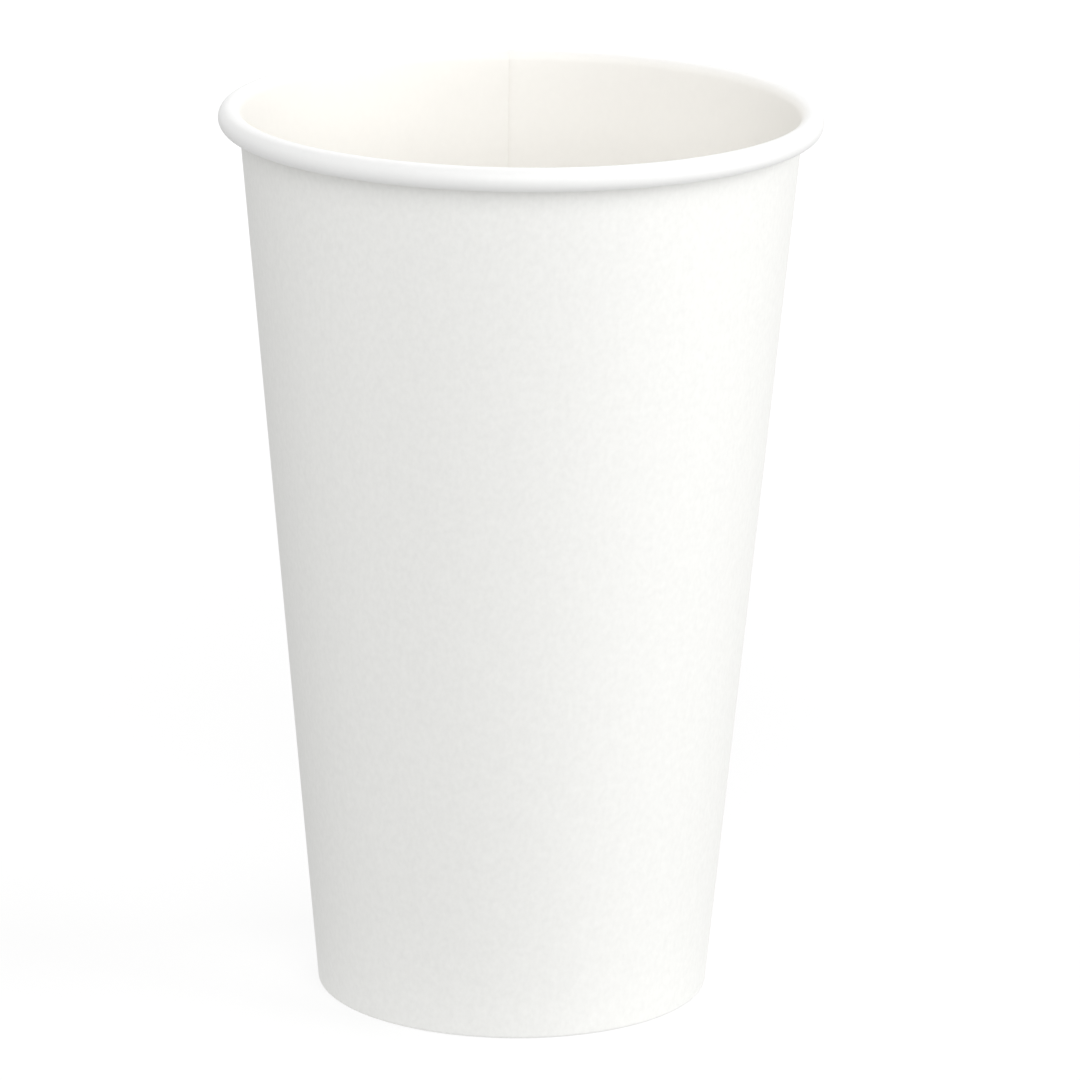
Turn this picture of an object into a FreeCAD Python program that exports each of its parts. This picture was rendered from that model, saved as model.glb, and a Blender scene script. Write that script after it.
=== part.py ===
"""A single-wall paper cup for a large hot drink, made of two pieces of coated board.

The side wall is one fan-shaped blank, wrapped to a cone and lapped along one seam at the back. Its top edge
is rolled outwards into a hollow rim, and its bottom edge is folded inwards and up into a hem. The bottom
disc is a second blank. Its edge is turned down into a skirt, which the hem clamps against the wall, so that
the floor of the cup stands well above the table.

The origin is on the table, in the middle of the foot. +Z is up, and the seam is at the back, near +Y.
Lengths are in millimetres and angles in degrees.
"""

import FreeCAD, Part
import math
import os

import Sketcher
from FreeCAD import Placement, Rotation, Vector

SIZES = {
    # outside of the cup; the foot is measured where the wall's outer face would meet the table
    "cup_height": 136.0,
    "rim_diameter": 90.0,
    "foot_diameter": 59.2,
    # board of the side wall
    "wall_board": 0.45,
    # rolled rim: the room between its tucked-in edge and the wall, how far that edge tucks in, and the
    # radius of the hollow left in the roll where the lap runs through it
    "roll_gap": 0.12,
    "roll_tuck": 165.0,
    "roll_core": 0.47,
    # hem folded up inside the foot
    "hem_height": 6.8,
    # lapped seam: where it is, how wide the lap is, how fast the board climbs onto its own edge, and how
    # much the two layers are pressed into each other
    "seam_azimuth": 92.8,
    "lap_angle": 11.0,
    "climb_angle": 1.6,
    "lap_squeeze": 0.19,
    # bottom disc: its board, the radius inside the bend at its edge, its room above the hem, the skirt's
    # room above the fold, and the melted film on either side of the skirt
    "bottom_board": 0.35,
    "bottom_bend": 0.55,
    "bottom_clearance": 1.2,
    "skirt_clearance": 0.3,
    "seal_film": 0.02,
}

# places that both pieces share
SHARED = {
    "lap_rise": "sizes.wall_board - sizes.lap_squeeze",
    "roll_radius": "2 * sizes.wall_board + shared.lap_rise + sizes.roll_gap + sizes.roll_core",
    "roll_centre_x": "sizes.rim_diameter / 2 - shared.roll_radius",
    "roll_centre_y": "sizes.cup_height - shared.roll_radius",
    "outer_face_radius": "shared.roll_radius - sizes.wall_board",
    "foot_x": "sizes.foot_diameter / 2",
}

DISC = {
    "skirt_inset": "sizes.wall_board + sizes.seal_film",
    "skirt_end": "sizes.wall_board + sizes.skirt_clearance",
    "bend_outside": "sizes.bottom_bend + sizes.bottom_board",
    "underside": "sizes.hem_height + sizes.bottom_clearance",
}

START, END, CENTRE = range(1, 4)  # the points of a line or an arc in a sketch
X_AXIS, Y_AXIS = range(-1, -3, -1)  # a sketch's own axes
ORIGIN = X_AXIS  # its origin is the start of its x axis
DOWN = -math.pi / 2
UP = math.pi / 2
FULL_TURN = "360"
TURN_TO_DOWN = "270"  # anticlockwise from level to straight down


def strip_formulas(azimuth, spread):
    """Where the side wall's board lies in the section at an azimuth.

    spread is how far the board stands off from its usual place, towards its outer side. The inner face of
    the cup runs on as the outside of the roll, so there the board moves towards the middle of the roll.
    """
    return {
        "azimuth": azimuth,
        "foot_x": f"shared.foot_x + {spread}",
        "hem_gap": f"sizes.bottom_board + 2 * sizes.seal_film + 2 * {spread}",
        "roll_radius": f"shared.roll_radius - {spread}",
        "roll_inside": f"shared.roll_radius - {spread} - sizes.wall_board",
        "tuck_radius": f"shared.roll_radius - {spread} - sizes.wall_board - sizes.roll_gap",
        "tuck_centre_y": "shared.roll_centre_y - sizes.wall_board - sizes.roll_gap",
        "tuck_slope": f"{TURN_TO_DOWN} - sizes.roll_tuck",
    }


def make_sizes(doc):
    """The driving dimensions, one named cell each."""
    sheet = doc.addObject("Spreadsheet::Sheet", "sizes")
    for row, (name, number) in enumerate(SIZES.items(), start=1):
        sheet.set(f"A{row}", name)
        sheet.set(f"B{row}", str(number))
        sheet.setAlias(f"B{row}", name)
    doc.recompute()


def derive(doc, name, formulas):
    """A named set of lengths and angles that follow the driving dimensions."""
    derived = doc.addObject("App::VarSet", name)
    for word, formula in formulas.items():
        derived.addProperty("App::PropertyFloat", word)
        derived.setExpression(word, formula)
    doc.recompute()


def origin_feature(body, role):
    """One of a body's own origin planes or axes."""
    return next(feature for feature in body.Origin.OriginFeatures if feature.Role == role)


def polar(centre, radius, angle):
    """The point at an angle in radians on a circle in a sketch."""
    return centre + Vector(math.cos(angle), math.sin(angle)) * radius


def lean_of(foot, roll_centre, radius):
    """How far a line leans from upright that goes from the foot past the inner side of a circle."""
    across = roll_centre - foot
    return math.atan2(across.x, across.y) - math.asin(radius / across.Length)


class AxialSketch:
    """A sketch on the half-plane through the cup's axis at an azimuth: x is the radius and y the height.

    Shapes are drawn where the present sizes put them, and constraints that follow the sizes hold them.
    A place is the name of a driving or derived dimension, such as sizes.wall_board.
    """

    def __init__(self, body, name, azimuth):
        self.sketch = body.newObject("Sketcher::SketchObject", name)
        self.sketch.AttachmentSupport = [(origin_feature(body, "XZ_Plane"), "")]
        self.sketch.MapMode = "FlatFace"
        self.sketch.AttachmentOffset = Placement(Vector(), Rotation(Vector(0, 1, 0), 0))
        self.sketch.setExpression("AttachmentOffset.Rotation.Angle", azimuth)

    def value(self, place):
        """What a named dimension measures at present."""
        owner, word = place.split(".")
        return getattr(self.sketch.Document.getObject(owner), word)

    def line(self, start, end, construction=False):
        return self.sketch.addGeometry(Part.LineSegment(start, end), construction)

    def arc(self, centre, radius, start, end):
        """An anticlockwise arc between two angles in radians."""
        circle = Part.Circle(centre, Vector(0, 0, 1), radius)
        return self.sketch.addGeometry(Part.ArcOfCircle(circle, start, end), False)

    def mark(self, place):
        """A point for construction."""
        return self.sketch.addGeometry(Part.Point(place), True)

    def guide_circle(self, centre, radius):
        """A circle for construction."""
        return self.sketch.addGeometry(Part.Circle(centre, Vector(0, 0, 1), radius), True)

    def hold(self, kind, *where):
        return self.sketch.addConstraint(Sketcher.Constraint(kind, *where))

    def join(self, *ends):
        """Puts ends of lines and arcs together in pairs: each pair is (line, end, line, end)."""
        for pair in ends:
            self.hold("Coincident", *pair)

    def smooth(self, *ends):
        """Joins ends in pairs, each running on from the other with no corner."""
        for pair in ends:
            self.hold("Tangent", *pair)

    def follow(self, place, index):
        """Names a constraint after a dimension and has it follow that dimension."""
        word = place.split(".")[1]
        self.sketch.renameConstraint(index, word)
        self.sketch.setExpression(f"Constraints.{word}", place)

    def drive(self, place, kind, *where):
        """A length that follows a dimension."""
        self.follow(place, self.hold(kind, *where, self.value(place)))

    def slope(self, place, line):
        """A line's angle from level, which follows a dimension."""
        self.follow(place, self.hold("Angle", line, math.radians(self.value(place))))


def side_wall_section(body, strip):
    """The side wall's board, cut through along the cup: hem, fold, wall and rolled rim in one strip.

    strip names the set of places that this section follows.
    """
    plan = AxialSketch(body, f"{strip}_section", f"{strip}.azimuth")
    board = plan.value("sizes.wall_board")
    outer = plan.value(f"{strip}.roll_radius")
    tuck = plan.value(f"{strip}.tuck_radius")
    tuck_end = math.radians(plan.value(f"{strip}.tuck_slope")) - 2 * math.pi
    foot = Vector(plan.value(f"{strip}.foot_x"), 0)
    roll_centre = Vector(plan.value("shared.roll_centre_x"), plan.value("shared.roll_centre_y"))
    tuck_centre = Vector(roll_centre.x, plan.value(f"{strip}.tuck_centre_y"))

    lean = lean_of(foot, roll_centre, outer - board)
    inward = math.pi - lean  # square to the wall, towards the axis
    up = polar(Vector(), 1, UP - lean)
    wall_top = polar(roll_centre, outer, inward)
    wall_corner = wall_top - up * ((wall_top.y - board) / up.y)
    hem_corner = wall_corner - Vector(plan.value(f"{strip}.hem_gap") / up.y, 0)
    hem_top = hem_corner + up * ((plan.value("sizes.hem_height") - board) / up.y)

    # the board's outer face, from the foot to the tucked-in edge of the roll
    wall_outer = plan.line(polar(wall_corner, board, -lean), polar(roll_centre, outer - board, inward))
    roll_inner = plan.arc(roll_centre, outer - board, DOWN, inward)
    tuck_inner = plan.arc(tuck_centre, tuck - board, tuck_end, DOWN)
    tuck_edge = plan.line(polar(tuck_centre, tuck - board, tuck_end), polar(tuck_centre, tuck, tuck_end))
    # back along its inner face, down to the hem
    tuck_outer = plan.arc(tuck_centre, tuck, tuck_end, DOWN)
    roll_outer = plan.arc(roll_centre, outer, DOWN, inward)
    wall_inner = plan.line(wall_top, wall_corner)
    fold_floor = plan.line(wall_corner, hem_corner)
    hem_outer = plan.line(hem_corner, hem_top)
    hem_edge = plan.line(hem_top, polar(hem_top, board, inward))
    # and round the fold on the table
    hem_inner = plan.line(polar(hem_top, board, inward), polar(hem_corner, board, inward))
    hem_fold = plan.arc(hem_corner, board, inward, math.pi - DOWN)
    foot_flat = plan.line(polar(hem_corner, board, DOWN), polar(wall_corner, board, DOWN))
    wall_fold = plan.arc(wall_corner, board, DOWN, -lean)
    foot_mark = plan.mark(foot)

    plan.smooth(
        (wall_outer, END, roll_inner, END),
        (roll_inner, START, tuck_inner, END),
        (tuck_outer, END, roll_outer, START),
        (roll_outer, END, wall_inner, START),
        (hem_inner, END, hem_fold, START),
        (hem_fold, END, foot_flat, START),
        (foot_flat, END, wall_fold, START),
        (wall_fold, END, wall_outer, START),
    )
    plan.join(
        (tuck_inner, START, tuck_edge, START),
        (tuck_edge, END, tuck_outer, START),
        (wall_inner, END, fold_floor, START),
        (fold_floor, END, hem_outer, START),
        (hem_outer, END, hem_edge, START),
        (hem_edge, END, hem_inner, START),
        (roll_inner, CENTRE, roll_outer, CENTRE),
        (tuck_inner, CENTRE, tuck_outer, CENTRE),
        (wall_fold, CENTRE, wall_inner, END),
        (hem_fold, CENTRE, hem_outer, START),
    )
    plan.hold("Vertical", roll_outer, CENTRE, tuck_outer, CENTRE)
    plan.hold("PointOnObject", tuck_outer, CENTRE, tuck_edge)
    plan.hold("PointOnObject", foot_mark, START, X_AXIS)
    plan.hold("PointOnObject", foot_mark, START, wall_outer)
    plan.hold("PointOnObject", foot_flat, START, X_AXIS)
    plan.hold("Horizontal", foot_flat)
    plan.hold("Equal", hem_fold, wall_fold)
    plan.hold("Parallel", hem_outer, wall_inner)
    plan.hold("Parallel", hem_inner, wall_inner)
    plan.hold("Perpendicular", hem_edge, hem_outer)

    plan.drive("shared.roll_centre_x", "DistanceX", ORIGIN, START, roll_outer, CENTRE)
    plan.drive("shared.roll_centre_y", "DistanceY", ORIGIN, START, roll_outer, CENTRE)
    plan.drive(f"{strip}.roll_radius", "Radius", roll_outer)
    plan.drive(f"{strip}.roll_inside", "Radius", roll_inner)
    plan.drive(f"{strip}.tuck_radius", "Radius", tuck_outer)
    plan.slope(f"{strip}.tuck_slope", tuck_edge)
    plan.drive(f"{strip}.foot_x", "DistanceX", ORIGIN, START, foot_mark, START)
    plan.drive("sizes.wall_board", "Radius", wall_fold)
    plan.drive(f"{strip}.hem_gap", "Distance", hem_outer, START, wall_inner)
    plan.drive("sizes.hem_height", "DistanceY", ORIGIN, START, hem_outer, END)
    return plan.sketch


def disc_section(body):
    """The bottom disc's board, cut through from the cup's axis to the lower edge of its skirt."""
    plan = AxialSketch(body, "disc_section", "sizes.seam_azimuth")
    board = plan.value("sizes.bottom_board")
    bend = plan.value("disc.bend_outside")
    underside = plan.value("disc.underside")
    skirt_end = plan.value("disc.skirt_end")
    wall_face = plan.value("shared.outer_face_radius")
    foot = Vector(plan.value("shared.foot_x"), 0)
    roll_centre = Vector(plan.value("shared.roll_centre_x"), plan.value("shared.roll_centre_y"))

    lean = lean_of(foot, roll_centre, wall_face)
    inward = math.pi - lean  # square to the wall, towards the axis
    up = polar(Vector(), 1, UP - lean)
    skirt_foot = polar(foot, plan.value("disc.skirt_inset"), inward)
    bend_y = underside + board - bend
    skirt_top = skirt_foot + up * ((bend_y - bend * math.sin(lean) - skirt_foot.y) / up.y)
    skirt_low = skirt_foot + up * ((skirt_end - skirt_foot.y) / up.y)
    bend_centre = polar(skirt_top, bend, inward)

    # the wall's outer face, for construction, from the foot to where it meets the roll
    wall_line = plan.line(foot, polar(roll_centre, wall_face, inward), construction=True)
    roll_circle = plan.guide_circle(roll_centre, wall_face)
    # the board, from the middle out over the bend, down the skirt and back
    top_face = plan.line(Vector(0, underside + board), polar(bend_centre, bend, UP))
    bend_outer = plan.arc(bend_centre, bend, -lean, UP)
    skirt_outer = plan.line(skirt_top, skirt_low)
    skirt_edge = plan.line(skirt_low, polar(skirt_low, board, inward))
    skirt_inner = plan.line(polar(skirt_low, board, inward), polar(skirt_top, board, inward))
    bend_inner = plan.arc(bend_centre, bend - board, -lean, UP)
    under_face = plan.line(polar(bend_centre, bend - board, UP), Vector(0, underside))
    axis_edge = plan.line(Vector(0, underside), Vector(0, underside + board))

    plan.smooth(
        (top_face, END, bend_outer, END),
        (bend_outer, START, skirt_outer, START),
        (skirt_inner, END, bend_inner, START),
        (bend_inner, END, under_face, START),
    )
    plan.join(
        (skirt_outer, END, skirt_edge, START),
        (skirt_edge, END, skirt_inner, START),
        (under_face, END, axis_edge, START),
        (axis_edge, END, top_face, START),
        (bend_outer, CENTRE, bend_inner, CENTRE),
    )
    plan.hold("PointOnObject", wall_line, START, X_AXIS)
    plan.hold("Tangent", wall_line, END, roll_circle)
    plan.hold("Parallel", skirt_outer, wall_line)
    plan.hold("Parallel", skirt_inner, wall_line)
    plan.hold("Perpendicular", skirt_edge, skirt_outer)
    plan.hold("Horizontal", top_face)
    plan.hold("Horizontal", under_face)
    plan.hold("PointOnObject", axis_edge, START, Y_AXIS)
    plan.hold("PointOnObject", axis_edge, END, Y_AXIS)

    plan.drive("shared.roll_centre_x", "DistanceX", ORIGIN, START, roll_circle, CENTRE)
    plan.drive("shared.roll_centre_y", "DistanceY", ORIGIN, START, roll_circle, CENTRE)
    plan.drive("shared.outer_face_radius", "Radius", roll_circle)
    plan.drive("shared.foot_x", "DistanceX", ORIGIN, START, wall_line, START)
    plan.drive("disc.skirt_inset", "Distance", skirt_outer, END, wall_line)
    plan.drive("disc.skirt_end", "DistanceY", ORIGIN, START, skirt_outer, END)
    plan.drive("disc.bend_outside", "Radius", bend_outer)
    plan.drive("sizes.bottom_bend", "Radius", bend_inner)
    plan.drive("disc.underside", "DistanceY", ORIGIN, START, axis_edge, START)
    return plan.sketch


def revolve(body, name, section, angle, clockwise=False):
    """Turns a section about the cup's axis, anticlockwise from above unless it is clockwise."""
    feature = body.newObject("PartDesign::Revolution", name)
    feature.Profile = (section, [""])
    feature.ReferenceAxis = (origin_feature(body, "Z_Axis"), [""])
    feature.Reversed = clockwise
    feature.setExpression("Angle", angle)


def make_side_wall(doc):
    """The blank once round the cone, its short climb onto its own edge, and the lap that lies on it."""
    derive(doc, "wrap", strip_formulas("sizes.seam_azimuth - sizes.climb_angle", "0"))
    derive(doc, "lap", strip_formulas("sizes.seam_azimuth", "shared.lap_rise"))
    body = doc.addObject("PartDesign::Body", "side_wall")
    wrap = side_wall_section(body, "wrap")
    lap = side_wall_section(body, "lap")
    doc.recompute()
    revolve(body, "wrap_turn", wrap, f"{FULL_TURN} - sizes.climb_angle", clockwise=True)
    climb = body.newObject("PartDesign::AdditiveLoft", "climb")
    climb.Profile = (wrap, [""])
    climb.Sections = [(lap, [""])]
    climb.Ruled = True
    revolve(body, "lap_turn", lap, "sizes.lap_angle")
    return body


def make_bottom_disc(doc):
    """The raised floor of the cup with its skirt."""
    derive(doc, "disc", DISC)
    body = doc.addObject("PartDesign::Body", "bottom_disc")
    section = disc_section(body)
    doc.recompute()
    revolve(body, "disc_turn", section, FULL_TURN)
    return body


def check(doc, bodies):
    """Stops if any feature failed, any sketch is loose or any piece isn't one sound solid."""
    for feature in doc.Objects:
        if {"Invalid", "Error"} & set(feature.State):
            raise RuntimeError(f"{feature.Name} failed: {feature.State}")
        if feature.TypeId == "Sketcher::SketchObject" and not feature.FullyConstrained:
            raise RuntimeError(f"{feature.Name} isn't fully constrained")
    for body in bodies:
        if body.Shape.isNull() or not body.Shape.isValid() or len(body.Shape.Solids) != 1:
            raise RuntimeError(f"{body.Label} isn't one valid solid")


def main():
    doc = FreeCAD.newDocument("paper_cup")
    make_sizes(doc)
    derive(doc, "shared", SHARED)
    bodies = [make_side_wall(doc), make_bottom_disc(doc)]
    doc.recompute()
    check(doc, bodies)
    os.makedirs("parts", exist_ok=True)
    for body in bodies:
        body.Shape.exportStep(os.path.join("parts", f"{body.Label}.step"))
        print(body.Label, round(body.Shape.Volume, 1), "cubic millimetres")
    return doc


main()
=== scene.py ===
"""A tall white paper coffee cup, standing open and empty on a pale studio floor.

The cup is dressed as its maker would describe it: one wrapped blank of board for the side wall, with its
rolled rim, lapped seam and folded hem, and one pressed disc for the bottom. Lengths are in metres.
"""

import math

import bpy
from mathutils import Matrix, Vector


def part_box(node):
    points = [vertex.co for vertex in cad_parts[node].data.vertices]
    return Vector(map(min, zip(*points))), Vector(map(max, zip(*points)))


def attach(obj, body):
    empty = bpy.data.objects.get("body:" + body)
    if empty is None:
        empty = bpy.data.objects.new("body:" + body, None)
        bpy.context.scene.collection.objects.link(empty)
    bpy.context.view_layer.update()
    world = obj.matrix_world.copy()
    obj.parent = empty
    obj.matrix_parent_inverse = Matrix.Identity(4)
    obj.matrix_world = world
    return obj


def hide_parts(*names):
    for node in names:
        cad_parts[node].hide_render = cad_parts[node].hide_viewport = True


MM = 0.001

# the side wall's board, and the bottom disc's
WALL_BOARD = 0.45 * MM
BOTTOM_BOARD = 0.35 * MM
SEAL_FILM = 0.02 * MM

# rolled rim
ROLL_RADIUS = 1.75 * MM
ROLL_GAP = 0.12 * MM
ROLL_TUCK = 165.0
LAP_TUCK = 40.0  # where two layers go through the roll, there is less room to tuck in

# folded foot and hem
FOOT_RADIUS = 29.6 * MM
HEM_HEIGHT = 6.8 * MM
FOLD_INSIDE = 0.08 * MM

# lapped seam, with its angles in degrees round the cup: the layers are pressed thinner where they lap, and
# the inner layer thins out to its cut edge
SEAM_AZIMUTH = 92.8
LAP_ANGLE = 11.0
CLIMB_ANGLE = 1.6
THINNING_ANGLE = 1.2
SETTLE_ANGLE = 6.0
PRESSED_BOARD = 0.35 * MM
THINNED_BOARD = 0.15 * MM
LAP_FILM = 0.01 * MM
FULL_TURN = 360.0

# bottom disc: its room above the hem, the radius inside the bend, and the skirt's room above the fold
BOTTOM_CLEARANCE = 1.2 * MM
BOTTOM_BEND = 0.55 * MM
SKIRT_CLEARANCE = 0.3 * MM

# how far the cut edges of the board are crushed
EDGE_CRUSH = 0.05 * MM

# the value about which a noise texture varies
NOISE_MIDDLE = 0.5

# how finely the pieces are divided: a step round the cup in degrees, and the stations along each stretch
TURN_STEP = 1.5
CLIMB_STEPS = 8
SETTLE_STEPS = 6
WALL_RUNS = 40
ROLL_RUNS = 26
TUCK_RUNS = 14
FOLD_RUNS = 6
HEM_RUNS = 6
MIDDLE_RADIUS = 0.2 * MM  # where the many-sided face in the middle of the bottom disc begins

# the camera of the photograph, from a fit to the cup's outline
CAMERA_AWAY = 1012.9 * MM
CAMERA_HEIGHT = 346.75 * MM
CAMERA_YAW = 0.201
CAMERA_PITCH = 15.321
CAMERA_ROLL = 0.687
CAMERA_REACH = 100.0
PHOTO_SIZE = 1080
FOCAL_PIXELS = 6959.6
SENSOR_WIDTH = 36.0

# the studio's floor: its reach each way, then its grey and its glow as they light the cup, by the foot and
# further off, then its grey and its glow as a camera sees them, and the radii between which that glow changes
FLOOR_REACH = 6.0
FLOOR_GREY = 0.08
FOOT_GLOW = 0.72
FLOOR_GLOW = 0.57
BACKDROP_GREY = 0.35
BACKDROP_GLOW = 0.665
FAR_BACKDROP_GLOW = 0.95
BACKDROP_NEAR = 0.25
BACKDROP_FAR = 1.2
WHITE = (1.0, 1.0, 1.0, 1.0)

# the studio's even light, then how far off and how wide its soft lamps are, and the azimuth, elevation and
# power of each: azimuth 0 is on the camera's side, and 90 is to the right
WORLD_STRENGTH = 0.38
LAMP_AWAY = 1.2
LAMP_SIZE = 1.0
LAMPS = {
    "right_softbox": (80.0, 20.0, 8.5),
    "front_softbox": (0.0, 33.0, 7.3),
    "left_softbox": (-90.0, 35.0, 2.5),
    "back_softbox": (180.0, 45.0, 4.4),
}


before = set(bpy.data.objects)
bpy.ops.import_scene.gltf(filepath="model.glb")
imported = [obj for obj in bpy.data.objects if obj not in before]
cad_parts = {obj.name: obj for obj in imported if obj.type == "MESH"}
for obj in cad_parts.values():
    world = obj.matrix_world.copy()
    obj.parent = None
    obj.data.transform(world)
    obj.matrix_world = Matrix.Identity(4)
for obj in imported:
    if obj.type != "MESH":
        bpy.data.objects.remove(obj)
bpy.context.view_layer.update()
wall_low, wall_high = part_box("side_wall")
RIM_RADIUS = wall_high.x
CUP_HEIGHT = wall_high.z
ROLL_CENTRE = Vector((RIM_RADIUS - ROLL_RADIUS, CUP_HEIGHT - ROLL_RADIUS))
UPRIGHT = Vector((0.0, 1.0))


def clamp(share):
    """The share, held between 0 and 1."""
    return min(max(share, 0.0), 1.0)


def smooth_step(share):
    """0 below 0, 1 above 1, and a smooth rise between."""
    share = clamp(share)
    return share * share * (3.0 - 2.0 * share)


def mix(low, high, share):
    return low + (high - low) * share


def direction(angle):
    """The unit vector at an angle in radians in a section."""
    return Vector((math.cos(angle), math.sin(angle)))


def polar(centre, radius, angle):
    """The point at an angle in radians on a circle in a section."""
    return centre + direction(angle) * radius


def wall_line(spread):
    """The wall's outer face in section, stood off by spread: its foot, its lean, and the ways up and inwards.

    It goes from the foot past the roll's hollow, on the side towards the cup's axis.
    """
    foot = Vector((FOOT_RADIUS + spread, 0.0))
    across = ROLL_CENTRE - foot
    hollow = ROLL_RADIUS - spread - WALL_BOARD
    lean = math.atan2(across.x, across.y) - math.asin(hollow / across.length)
    return foot, lean, Vector((math.sin(lean), math.cos(lean))), direction(math.pi - lean)


class Strip:
    """Stations along a board in section: the middle of its thickness, and the way its coated face looks."""

    def __init__(self):
        self.stations = []

    def run(self, start, end, coated, count):
        """A straight stretch, without its last station."""
        for step in range(count):
            self.stations.append((start.lerp(end, step / count), coated))

    def bend(self, centre, radius, start, end, coated_out, count):
        """A bend, without its last station. coated_out is 1 where the coated face is outside it, else -1."""
        for step in range(count):
            angle = mix(start, end, step / count)
            outward = direction(angle)
            self.stations.append((centre + outward * radius, outward * coated_out))

    def close(self, point, coated):
        self.stations.append((point, coated))


def side_wall_strip(spread, lift, tuck):
    """The side wall's board from the hem's top edge, round the foot and up to the edge tucked in the roll.

    spread is how far the board stands off towards its outer face, where it lies on the lap, lift is how far
    its fold is held off the table, where another fold passes under it, and tuck is the tucked-in angle.
    """
    half = WALL_BOARD / 2
    foot, lean, up, inward = wall_line(spread)
    inward_angle = math.pi - lean
    roll_middle = ROLL_RADIUS - spread - half

    fold_outside = FOLD_INSIDE + WALL_BOARD
    fold_middle = FOLD_INSIDE + half
    rise = (fold_outside * (1.0 - math.sin(lean)) + lift) / math.cos(lean)
    wall_fold = foot + inward * fold_outside + up * rise
    hem_gap = BOTTOM_BOARD + 2 * (SEAL_FILM + spread - FOLD_INSIDE)
    hem_fold = wall_fold - Vector((hem_gap / math.cos(lean), 0.0))
    hem_low = hem_fold + inward * fold_middle
    hem_top = hem_low + up * ((HEM_HEIGHT - hem_low.y) / up.y)
    wall_top = polar(ROLL_CENTRE, roll_middle, inward_angle)
    down = -math.pi / 2
    tuck_centre = ROLL_CENTRE - Vector((0.0, WALL_BOARD + ROLL_GAP))
    tuck_middle = roll_middle - WALL_BOARD - ROLL_GAP
    tuck_end = down - math.radians(tuck)

    strip = Strip()
    strip.run(hem_top, hem_low, -inward, HEM_RUNS)
    strip.bend(hem_fold, fold_middle, inward_angle, math.pi - down, -1, FOLD_RUNS)
    strip.run(polar(hem_fold, fold_middle, down), polar(wall_fold, fold_middle, down), UPRIGHT, 1)
    strip.bend(wall_fold, fold_middle, down, -lean, -1, FOLD_RUNS)
    strip.run(polar(wall_fold, fold_middle, -lean), wall_top, inward, WALL_RUNS)
    strip.bend(ROLL_CENTRE, roll_middle, inward_angle, down, 1, ROLL_RUNS)
    strip.bend(tuck_centre, tuck_middle, down, tuck_end, 1, TUCK_RUNS)
    strip.close(polar(tuck_centre, tuck_middle, tuck_end), direction(tuck_end))
    return strip.stations


def inner_layer(turn):
    """The thickness of the lap's inner layer at a turn past the lap's outer edge, or just before it."""
    pressed = mix(WALL_BOARD, PRESSED_BOARD, smooth_step(1.0 + turn / SETTLE_ANGLE))
    thinned = clamp((turn - LAP_ANGLE) / THINNING_ANGLE + 1.0)
    return mix(pressed, THINNED_BOARD, thinned)


def lap_state(turn):
    """How the board lies at a turn in degrees, counted clockwise from the lap's outer edge.

    Returns its thickness, spread, lift and tuck. The inner face of the cup stays even under the lap.
    """
    before_edge = turn - FULL_TURN
    if before_edge > -SETTLE_ANGLE:
        board = inner_layer(before_edge)
        doubled = smooth_step(1.0 + before_edge / SETTLE_ANGLE)
        lift = (PRESSED_BOARD + LAP_FILM) * doubled
        return board, (board - WALL_BOARD) / 2, lift, mix(ROLL_TUCK, LAP_TUCK, doubled)
    on_top = (1.0 - clamp((turn - LAP_ANGLE) / CLIMB_ANGLE)) ** 2
    board = mix(WALL_BOARD, PRESSED_BOARD, on_top)
    stand_off = (inner_layer(min(turn, LAP_ANGLE)) + LAP_FILM) * on_top
    doubled = 1.0 - smooth_step((turn - LAP_ANGLE) / SETTLE_ANGLE)
    return board, stand_off + (board - WALL_BOARD) / 2, 0.0, mix(ROLL_TUCK, LAP_TUCK, doubled)


def wall_turns():
    """The turns at which the side wall has a section: close together where its edges and its climb are."""
    edge = math.degrees(EDGE_CRUSH / RIM_RADIUS)
    end = FULL_TURN + LAP_ANGLE
    climb = [LAP_ANGLE + CLIMB_ANGLE * step / CLIMB_STEPS for step in range(CLIMB_STEPS + 1)]
    thinning = [turn - THINNING_ANGLE for turn in (LAP_ANGLE, end)]
    settle = [FULL_TURN - SETTLE_ANGLE * step / SETTLE_STEPS for step in range(SETTLE_STEPS + 1)]
    fixed = [0.0, edge, 2 * edge, end - 2 * edge, end - edge, end] + climb + thinning + settle
    count = round(end / TURN_STEP)
    even = [end * step / count for step in range(1, count)]
    clear = TURN_STEP / 3
    return sorted(fixed + [turn for turn in even if min(abs(turn - other) for other in fixed) > clear])


def crush(position, cut_ends):
    """The share of the board's thickness that is left at a position, less at its cut ends."""
    return 1.0 - 2 * EDGE_CRUSH / WALL_BOARD if position in cut_ends else 1.0


def beside(station, neighbour):
    """Two stations close to a cut end, on the way to its neighbour, which keep the crushed edge narrow."""
    point, coated = station
    step = (neighbour[0] - point).normalized() * EDGE_CRUSH
    return [(point + step, coated), (point + step * 2, coated)]


def edge_stations(stations):
    """A section's stations with the added ones at either cut end."""
    after = beside(stations[0], stations[1])
    before = beside(stations[-1], stations[-2])
    return stations[:1] + after + stations[1:-1] + before[::-1] + stations[-1:]


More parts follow.
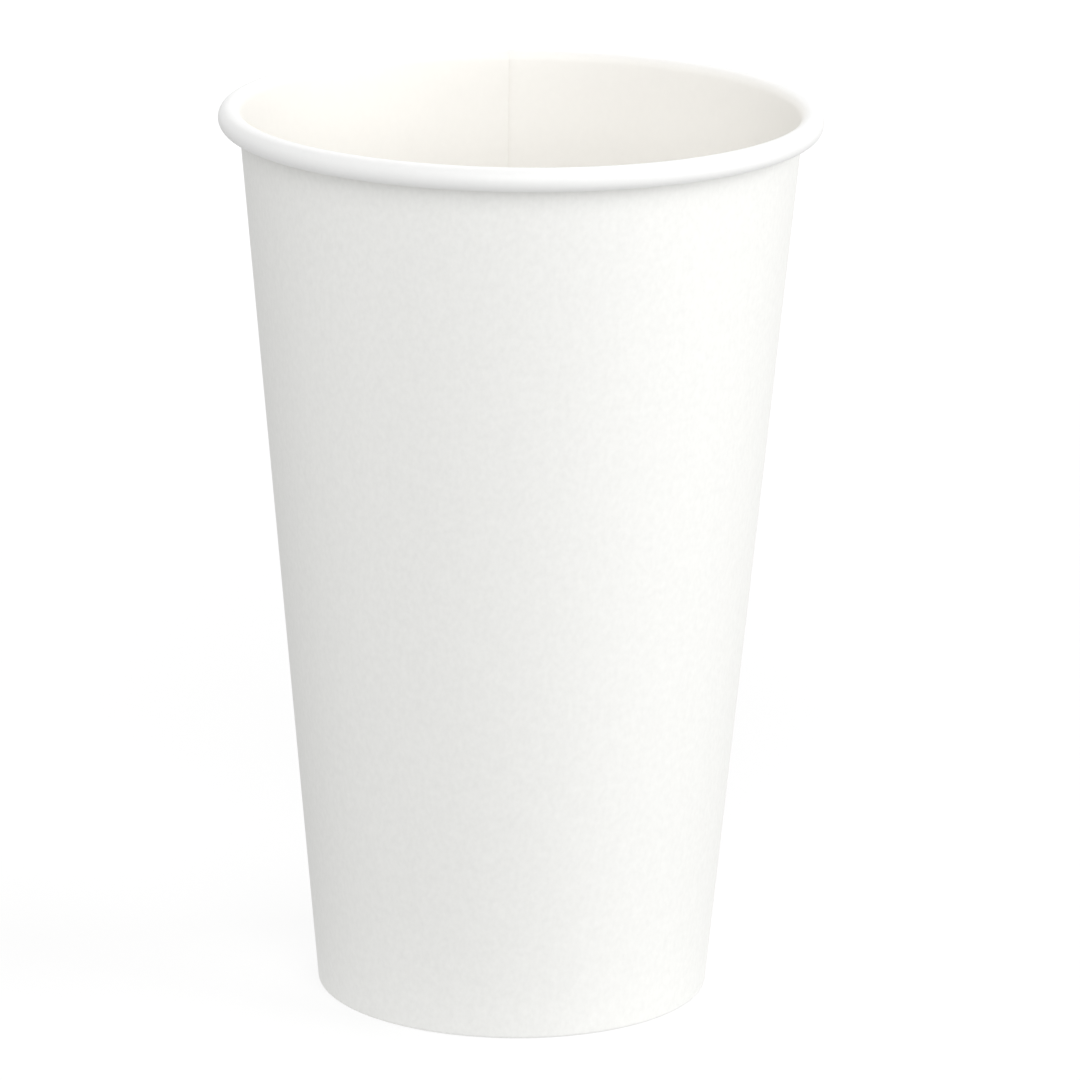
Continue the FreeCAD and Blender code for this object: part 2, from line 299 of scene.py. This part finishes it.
def board_faces(columns, rows, closed):
    """Faces of a board whose columns each hold rows points on the plain face and rows on the coated one.

    Returns them in three lists: plain face, coated face and cut edges.
    """
    def index(column, row, coated):
        return (column % columns) * 2 * rows + row + (rows if coated else 0)

    plain, coated, cut = [], [], []
    spans = range(columns if closed else columns - 1)
    for column in spans:
        for row in range(rows - 1):
            corners = [(column, row), (column, row + 1), (column + 1, row + 1), (column + 1, row)]
            plain.append([index(*corner, False) for corner in corners])
            coated.append([index(*corner, True) for corner in reversed(corners)])
        for row, step in ((0, 1), (rows - 1, -1)):
            ring = [index(column, row, True), index(column, row, False),
                    index(column + 1, row, False), index(column + 1, row, True)]
            cut.append(ring[::step])
    if not closed:
        for column, step in ((0, 1), (columns - 1, -1)):
            for row in range(rows - 1):
                ring = [index(column, row, False), index(column, row, True),
                        index(column, row + 1, True), index(column, row + 1, False)]
                cut.append(ring[::step])
    return plain, coated, cut


def add_piece(name, points, faces, materials):
    """A smooth-shaded mesh with a list of faces for each material, sharp between one material and another."""
    mesh = bpy.data.meshes.new(name)
    every = [face for group in faces for face in group]
    mesh.from_pydata(points, [], every)
    for material in materials:
        mesh.materials.append(material)
    slots = [slot for slot, group in enumerate(faces) for _ in group]
    mesh.polygons.foreach_set("material_index", slots)
    mesh.polygons.foreach_set("use_smooth", [True] * len(every))
    mesh.update()
    slots_at = {}
    for polygon in mesh.polygons:
        for key in polygon.edge_keys:
            slots_at.setdefault(key, set()).add(polygon.material_index)
    sharp = [len(slots_at[tuple(sorted(edge.vertices))]) > 1 for edge in mesh.edges]
    marks = mesh.attributes.new("sharp_edge", "BOOLEAN", "EDGE")
    marks.data.foreach_set("value", sharp)
    piece = bpy.data.objects.new(name, mesh)
    bpy.context.scene.collection.objects.link(piece)
    return piece


def at_azimuth(point, azimuth):
    """A point of a section, radius and height, at an azimuth in degrees."""
    angle = math.radians(azimuth)
    return (point.x * math.cos(angle), point.x * math.sin(angle), point.y)


def make_side_wall(materials):
    """The wrapped blank, from the lap's outer edge at the back, clockwise round the cup to its inner edge."""
    points = []
    turns = wall_turns()
    for column, turn in enumerate(turns):
        board, spread, lift, tuck = lap_state(turn)
        stations = edge_stations(side_wall_strip(spread, lift, tuck))
        azimuth = SEAM_AZIMUTH + LAP_ANGLE - turn
        end_share = crush(column, (0, len(turns) - 1))
        for side in (-1, 1):
            for row, (middle, coated) in enumerate(stations):
                share = min(end_share, crush(row, (0, len(stations) - 1)))
                points.append(at_azimuth(middle + coated * (side * share * board / 2), azimuth))
    rows = len(stations)
    faces = board_faces(len(turns), rows, closed=False)
    return add_piece("cup_side_wall", points, faces, materials)


def bottom_strip():
    """The bottom disc's board from the skirt's lower edge, over the bend and in to the middle."""
    foot, lean, up, inward = wall_line(0.0)
    half = BOTTOM_BOARD / 2
    bend_outside = BOTTOM_BEND + BOTTOM_BOARD
    top = HEM_HEIGHT + BOTTOM_CLEARANCE + BOTTOM_BOARD

    skirt = foot + inward * (WALL_BOARD + SEAL_FILM)
    skirt_low = skirt + up * ((WALL_BOARD + SKIRT_CLEARANCE - skirt.y) / up.y) + inward * half
    bend_height = top - bend_outside * (1.0 + math.sin(lean))
    skirt_top = skirt + up * ((bend_height - skirt.y) / up.y) + inward * half
    bend_centre = skirt_top + inward * (bend_outside - half)
    disc_edge = polar(bend_centre, bend_outside - half, math.pi / 2)
    middle = Vector((MIDDLE_RADIUS, disc_edge.y))

    strip = Strip()
    strip.run(skirt_low, skirt_top, -inward, HEM_RUNS)
    strip.bend(bend_centre, bend_outside - half, -lean, math.pi / 2, 1, FOLD_RUNS * 2)
    strip.run(disc_edge, middle, UPRIGHT, WALL_RUNS // 2)
    strip.close(middle, UPRIGHT)
    return strip.stations


def make_bottom_disc(materials):
    """The pressed disc with its skirt, coated on its upper face."""
    count = round(FULL_TURN / TURN_STEP / 2)
    stations = bottom_strip()
    stations = stations[:1] + beside(stations[0], stations[1]) + stations[1:]
    points = []
    for column in range(count):
        for side in (-1, 1):
            for row, (middle, coated) in enumerate(stations):
                offset = coated * (side * crush(row, (0,)) * BOTTOM_BOARD / 2)
                points.append(at_azimuth(middle + offset, FULL_TURN * column / count))
    rows = len(stations)
    plain, coated, cut = board_faces(count, rows, closed=True)
    # the strip's inner end isn't cut: one many-sided face closes the middle on either side
    cut = cut[0::2]
    for faces, row, step in ((plain, rows - 1, -1), (coated, 2 * rows - 1, 1)):
        faces.append([column * 2 * rows + row for column in range(count)][::step])
    return add_piece("cup_bottom_disc", points, (plain, coated, cut), materials)


def socket_group(name, inputs, outputs):
    """An empty shader node group with named input and output sockets, each with its kind."""
    group = bpy.data.node_groups.new(name, "ShaderNodeTree")
    for way, sockets in (("INPUT", inputs), ("OUTPUT", outputs)):
        for label, kind in sockets.items():
            group.interface.new_socket(label, in_out=way, socket_type=kind)
    start = group.nodes.new("NodeGroupInput")
    end = group.nodes.new("NodeGroupOutput")
    return group, start, end


def noise(tree, place, scale, detail):
    """A noise texture at a place; the scale socket gives its number of blotches in a metre."""
    node = tree.nodes.new("ShaderNodeTexNoise")
    node.inputs["Detail"].default_value = detail
    tree.links.new(place, node.inputs["Vector"])
    tree.links.new(scale, node.inputs["Scale"])
    return node.outputs["Fac"]


def calculate(tree, operation, first, second):
    """A math node on two values, each a number or a socket."""
    node = tree.nodes.new("ShaderNodeMath")
    node.operation = operation
    for socket, value in zip(node.inputs, (first, second)):
        if isinstance(value, float):
            socket.default_value = value
        else:
            tree.links.new(value, socket)
    return node.outputs["Value"]


def by_radius(tree, place, near, far, near_value, far_value):
    """A value that goes smoothly from one at a near radius to another at a far one, round the cup's axis."""
    flat = tree.nodes.new("ShaderNodeVectorMath")
    flat.operation = "MULTIPLY"
    flat.inputs[1].default_value = (1.0, 1.0, 0.0)
    tree.links.new(place, flat.inputs[0])
    radius = tree.nodes.new("ShaderNodeVectorMath")
    radius.operation = "LENGTH"
    tree.links.new(flat.outputs["Vector"], radius.inputs[0])
    spread = tree.nodes.new("ShaderNodeMapRange")
    spread.interpolation_type = "SMOOTHSTEP"
    spread.inputs["From Min"].default_value = near
    spread.inputs["From Max"].default_value = far
    spread.inputs["To Min"].default_value = near_value
    spread.inputs["To Max"].default_value = far_value
    tree.links.new(radius.outputs["Value"], spread.inputs["Value"])
    return spread.outputs["Result"]


def board_surface_group():
    """The look of pressed fibre: fine grain, and the cloudy patches where the fibres lie thicker."""
    group, start, end = socket_group(
        "board_surface",
        {
            "Place": "NodeSocketVector",
            "Grain Scale": "NodeSocketFloat",
            "Cloud Scale": "NodeSocketFloat",
            "Grain Depth": "NodeSocketFloat",
            "Cloud Depth": "NodeSocketFloat",
        },
        {"Shade": "NodeSocketFloat", "Height": "NodeSocketFloat"},
    )
    # the grain is a little longer up the cup than round it
    stretch = group.nodes.new("ShaderNodeMapping")
    stretch.inputs["Scale"].default_value = (1.0, 1.0, 0.7)
    group.links.new(start.outputs["Place"], stretch.inputs["Vector"])
    grain = noise(group, stretch.outputs["Vector"], start.outputs["Grain Scale"], detail=2.0)
    cloud = noise(group, start.outputs["Place"], start.outputs["Cloud Scale"], detail=3.0)
    grain_part = calculate(group, "SUBTRACT", grain, NOISE_MIDDLE)
    cloud_part = calculate(group, "SUBTRACT", cloud, NOISE_MIDDLE)
    grain_shade = calculate(group, "MULTIPLY", grain_part, start.outputs["Grain Depth"])
    cloud_shade = calculate(group, "MULTIPLY", cloud_part, start.outputs["Cloud Depth"])
    shade = calculate(group, "ADD", calculate(group, "ADD", grain_shade, cloud_shade), 1.0)
    group.links.new(shade, end.inputs["Shade"])
    group.links.new(calculate(group, "ADD", grain, cloud), end.inputs["Height"])
    return group


def cut_fibres_group():
    """The look of cut board: thin layers of fibre along the edge, torn here and there."""
    group, start, end = socket_group(
        "cut_fibres",
        {
            "Place": "NodeSocketVector",
            "Fibre Scale": "NodeSocketFloat",
            "Fibre Depth": "NodeSocketFloat",
        },
        {"Shade": "NodeSocketFloat", "Height": "NodeSocketFloat"},
    )
    fibres = noise(group, start.outputs["Place"], start.outputs["Fibre Scale"], detail=5.0)
    part = calculate(group, "SUBTRACT", fibres, NOISE_MIDDLE)
    shade = calculate(group, "MULTIPLY", part, start.outputs["Fibre Depth"])
    group.links.new(calculate(group, "ADD", shade, 1.0), end.inputs["Shade"])
    group.links.new(fibres, end.inputs["Height"])
    return group


def rim_or_painted_inside_light_group():
    """0 on the inside of the cup, whose brighter, creamier colour is painted light for light bounced round
    the inside and shining through the wall, and 1 over the rolled rim.
    """
    group, start, end = socket_group(
        "rim_or_painted_inside_light",
        {"Place": "NodeSocketVector"},
        {"Rim Share": "NodeSocketFloat"},
    )
    inner, middle = RIM_RADIUS - 2 * ROLL_RADIUS, RIM_RADIUS - ROLL_RADIUS
    whiteness = by_radius(group, start.outputs["Place"], inner, middle, 0.0, 1.0)
    group.links.new(whiteness, end.inputs["Rim Share"])
    return group


def board_material(name, group, colour, values, finish, bump, rim_colour=None):
    """A board whose colour is shaded by a surface group, with its own group values, finish and bump.

    rim_colour is its colour over the rolled rim, where that differs; the colour inside the cup is then
    painted brighter and creamier, as painted light.
    """
    material = bpy.data.materials.new(name)
    material.use_nodes = True
    tree = material.node_tree
    shader = tree.nodes["Principled BSDF"]
    for label, value in finish.items():
        shader.inputs[label].default_value = value
    place = tree.nodes.new("ShaderNodeTexCoord")
    surface = tree.nodes.new("ShaderNodeGroup")
    surface.node_tree = group
    for label, value in values.items():
        surface.inputs[label].default_value = value
    tree.links.new(place.outputs["Object"], surface.inputs["Place"])

    tint = tree.nodes.new("ShaderNodeMix")
    tint.data_type = "RGBA"
    tint.blend_type = "MULTIPLY"
    tint.inputs["Factor"].default_value = 1.0
    tree.links.new(surface.outputs["Shade"], tint.inputs["B"])
    if not rim_colour:
        tint.inputs["A"].default_value = (*colour, 1.0)
    else:
        # painted light: inside the cup the colour is brighter and creamier than over the rim, for light
        # bounced round the inside and shining through the wall
        rim = tree.nodes.new("ShaderNodeGroup")
        rim.node_tree = rim_or_painted_inside_light_group()
        tree.links.new(place.outputs["Object"], rim.inputs["Place"])
        painted_inside_or_rim = tree.nodes.new("ShaderNodeMix")
        painted_inside_or_rim.data_type = "RGBA"
        painted_inside_or_rim.inputs["A"].default_value = (*colour, 1.0)
        painted_inside_or_rim.inputs["B"].default_value = (*rim_colour, 1.0)
        tree.links.new(rim.outputs["Rim Share"], painted_inside_or_rim.inputs["Factor"])
        tree.links.new(painted_inside_or_rim.outputs["Result"], tint.inputs["A"])
    tree.links.new(tint.outputs["Result"], shader.inputs["Base Color"])

    relief = tree.nodes.new("ShaderNodeBump")
    relief.inputs["Strength"].default_value = bump["strength"]
    relief.inputs["Distance"].default_value = bump["distance"]
    tree.links.new(surface.outputs["Height"], relief.inputs["Height"])
    tree.links.new(relief.outputs["Normal"], shader.inputs["Normal"])
    return material


def make_materials():
    """Plain outer face, coated inner face and cut edges, in the order that board_faces gives."""
    surface = board_surface_group()
    fibres = cut_fibres_group()
    plain = board_material(
        "plain_board", surface, (0.872, 0.873, 0.852),
        {"Grain Scale": 1450.0, "Cloud Scale": 500.0, "Grain Depth": 0.10, "Cloud Depth": 0.03},
        {"Roughness": 0.82, "Specular IOR Level": 0.28},
        {"strength": 0.10, "distance": 0.04 * MM},
    )
    # the coated colour is painted light: brighter and creamier than the rim colour, for light bounced round
    # the inside of the cup and shining through the wall
    coated = board_material(
        "coated_board", surface, (0.955, 0.939, 0.902),
        {"Grain Scale": 1300.0, "Cloud Scale": 260.0, "Grain Depth": 0.03, "Cloud Depth": 0.014},
        {"Roughness": 0.5, "Specular IOR Level": 0.4, "Coat Weight": 0.12, "Coat Roughness": 0.35},
        {"strength": 0.06, "distance": 0.05 * MM},
        rim_colour=(0.885, 0.885, 0.878),
    )
    cut = board_material(
        "cut_board_edge", fibres, (0.80, 0.785, 0.745),
        {"Fibre Scale": 3000.0, "Fibre Depth": 0.22},
        {"Roughness": 0.95, "Specular IOR Level": 0.15},
        {"strength": 0.5, "distance": 0.03 * MM},
    )
    return [plain, coated, cut]


def make_floor():
    """A pale floor that a camera sees as white, with the cup's shadow kept, and that isn't seen from below.

    It glows a little, like a white table in a bright studio, so that the foot of the cup isn't gloomy.
    """
    mesh = bpy.data.meshes.new("studio_floor")
    corners = [(x * FLOOR_REACH, y * FLOOR_REACH, 0.0) for x, y in ((-1, -1), (1, -1), (1, 1), (-1, 1))]
    mesh.from_pydata(corners, [], [(0, 1, 2, 3)])
    floor = bpy.data.objects.new("studio_floor", mesh)
    bpy.context.scene.collection.objects.link(floor)

    material = bpy.data.materials.new("studio_floor")
    material.use_nodes = True
    tree = material.node_tree
    tree.nodes.remove(tree.nodes["Principled BSDF"])
    place = tree.nodes.new("ShaderNodeTexCoord").outputs["Object"]
    light_path = tree.nodes.new("ShaderNodeLightPath")
    by_camera = tree.nodes.new("ShaderNodeMixShader")
    tree.links.new(light_path.outputs["Is Camera Ray"], by_camera.inputs["Fac"])
    for socket, grey, near, far, near_glow, far_glow in (
        (1, FLOOR_GREY, FOOT_RADIUS, 2 * FOOT_RADIUS, FOOT_GLOW, FLOOR_GLOW),
        (2, BACKDROP_GREY, BACKDROP_NEAR, BACKDROP_FAR, BACKDROP_GLOW, FAR_BACKDROP_GLOW),
    ):
        surface = tree.nodes.new("ShaderNodeBsdfDiffuse")
        surface.inputs["Color"].default_value = (grey, grey, grey, 1.0)
        light = tree.nodes.new("ShaderNodeEmission")
        glow = by_radius(tree, place, near, far, near_glow, far_glow)
        tree.links.new(glow, light.inputs["Strength"])
        both = tree.nodes.new("ShaderNodeAddShader")
        tree.links.new(surface.outputs["BSDF"], both.inputs[0])
        tree.links.new(light.outputs["Emission"], both.inputs[1])
        tree.links.new(both.outputs["Shader"], by_camera.inputs[socket])
    side = tree.nodes.new("ShaderNodeNewGeometry")
    clear = tree.nodes.new("ShaderNodeBsdfTransparent")
    from_above = tree.nodes.new("ShaderNodeMixShader")
    tree.links.new(side.outputs["Backfacing"], from_above.inputs["Fac"])
    tree.links.new(by_camera.outputs["Shader"], from_above.inputs[1])
    tree.links.new(clear.outputs["BSDF"], from_above.inputs[2])
    tree.links.new(from_above.outputs["Shader"], tree.nodes["Material Output"].inputs["Surface"])
    mesh.materials.append(material)


def make_world():
    """Even white light from all round, which a camera sees as white."""
    world = bpy.data.worlds.new("studio")
    world.use_nodes = True
    bpy.context.scene.world = world
    tree = world.node_tree
    ambient = tree.nodes["Background"]
    ambient.inputs["Color"].default_value = WHITE
    ambient.inputs["Strength"].default_value = WORLD_STRENGTH
    backdrop = tree.nodes.new("ShaderNodeBackground")
    backdrop.inputs["Color"].default_value = WHITE
    backdrop.inputs["Strength"].default_value = 1.0
    rays = tree.nodes.new("ShaderNodeLightPath").outputs
    seen = calculate(tree, "MAXIMUM", rays["Is Camera Ray"], rays["Is Glossy Ray"])
    seen_through = calculate(tree, "MAXIMUM", seen, rays["Is Transmission Ray"])
    by_camera = tree.nodes.new("ShaderNodeMixShader")
    tree.links.new(seen_through, by_camera.inputs["Fac"])
    tree.links.new(ambient.outputs["Background"], by_camera.inputs[1])
    tree.links.new(backdrop.outputs["Background"], by_camera.inputs[2])
    tree.links.new(by_camera.outputs["Shader"], tree.nodes["World Output"].inputs["Surface"])


def add_softbox(name, azimuth, elevation, power):
    """A square soft light aimed at the middle of the cup, at an azimuth as the table of lamps counts it."""
    light = bpy.data.lights.new(name, "AREA")
    light.shape = "SQUARE"
    light.size = LAMP_SIZE
    light.energy = power
    lamp = bpy.data.objects.new(name, light)
    turn, height = math.radians(azimuth), math.radians(elevation)
    aim = Vector((0.0, 0.0, CUP_HEIGHT / 2))
    level = math.cos(height)
    toward = Vector((math.sin(turn) * level, -math.cos(turn) * level, math.sin(height)))
    lamp.location = aim + toward * LAMP_AWAY
    lamp.rotation_euler = toward.to_track_quat("Z", "Y").to_euler()
    bpy.context.scene.collection.objects.link(lamp)


def make_camera():
    """The photograph's camera: far off, looking a little down, with a long lens."""
    yaw, pitch, roll = (math.radians(angle) for angle in (CAMERA_YAW, CAMERA_PITCH, CAMERA_ROLL))
    forward = Vector((math.sin(yaw) * math.cos(pitch), math.cos(yaw) * math.cos(pitch), -math.sin(pitch)))
    level_right = Vector((math.cos(yaw), -math.sin(yaw), 0.0))
    level_up = level_right.cross(forward)
    right = level_right * math.cos(roll) + level_up * math.sin(roll)
    up = level_up * math.cos(roll) - level_right * math.sin(roll)
    data = bpy.data.cameras.new("camera")
    data.sensor_width = SENSOR_WIDTH
    data.lens = FOCAL_PIXELS / PHOTO_SIZE * SENSOR_WIDTH
    data.clip_end = CAMERA_REACH
    camera = bpy.data.objects.new("camera", data)
    turn = Matrix((right, up, -forward)).transposed().to_4x4()
    camera.matrix_world = Matrix.Translation((0.0, -CAMERA_AWAY, CAMERA_HEIGHT)) @ turn
    bpy.context.scene.collection.objects.link(camera)
    bpy.context.scene.camera = camera


bpy.context.scene.view_settings.view_transform = "Standard"
make_camera()
make_floor()
make_world()
for name, (azimuth, elevation, power) in LAMPS.items():
    add_softbox(name, azimuth, elevation, power)

board = make_materials()
side_wall = make_side_wall(board)
bottom_disc = make_bottom_disc(board)
for piece, node, slot in (
    (side_wall, "side_wall", "wall_board"),
    (bottom_disc, "bottom_disc", "bottom_board"),
):
    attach(piece, "root")
    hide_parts(node)
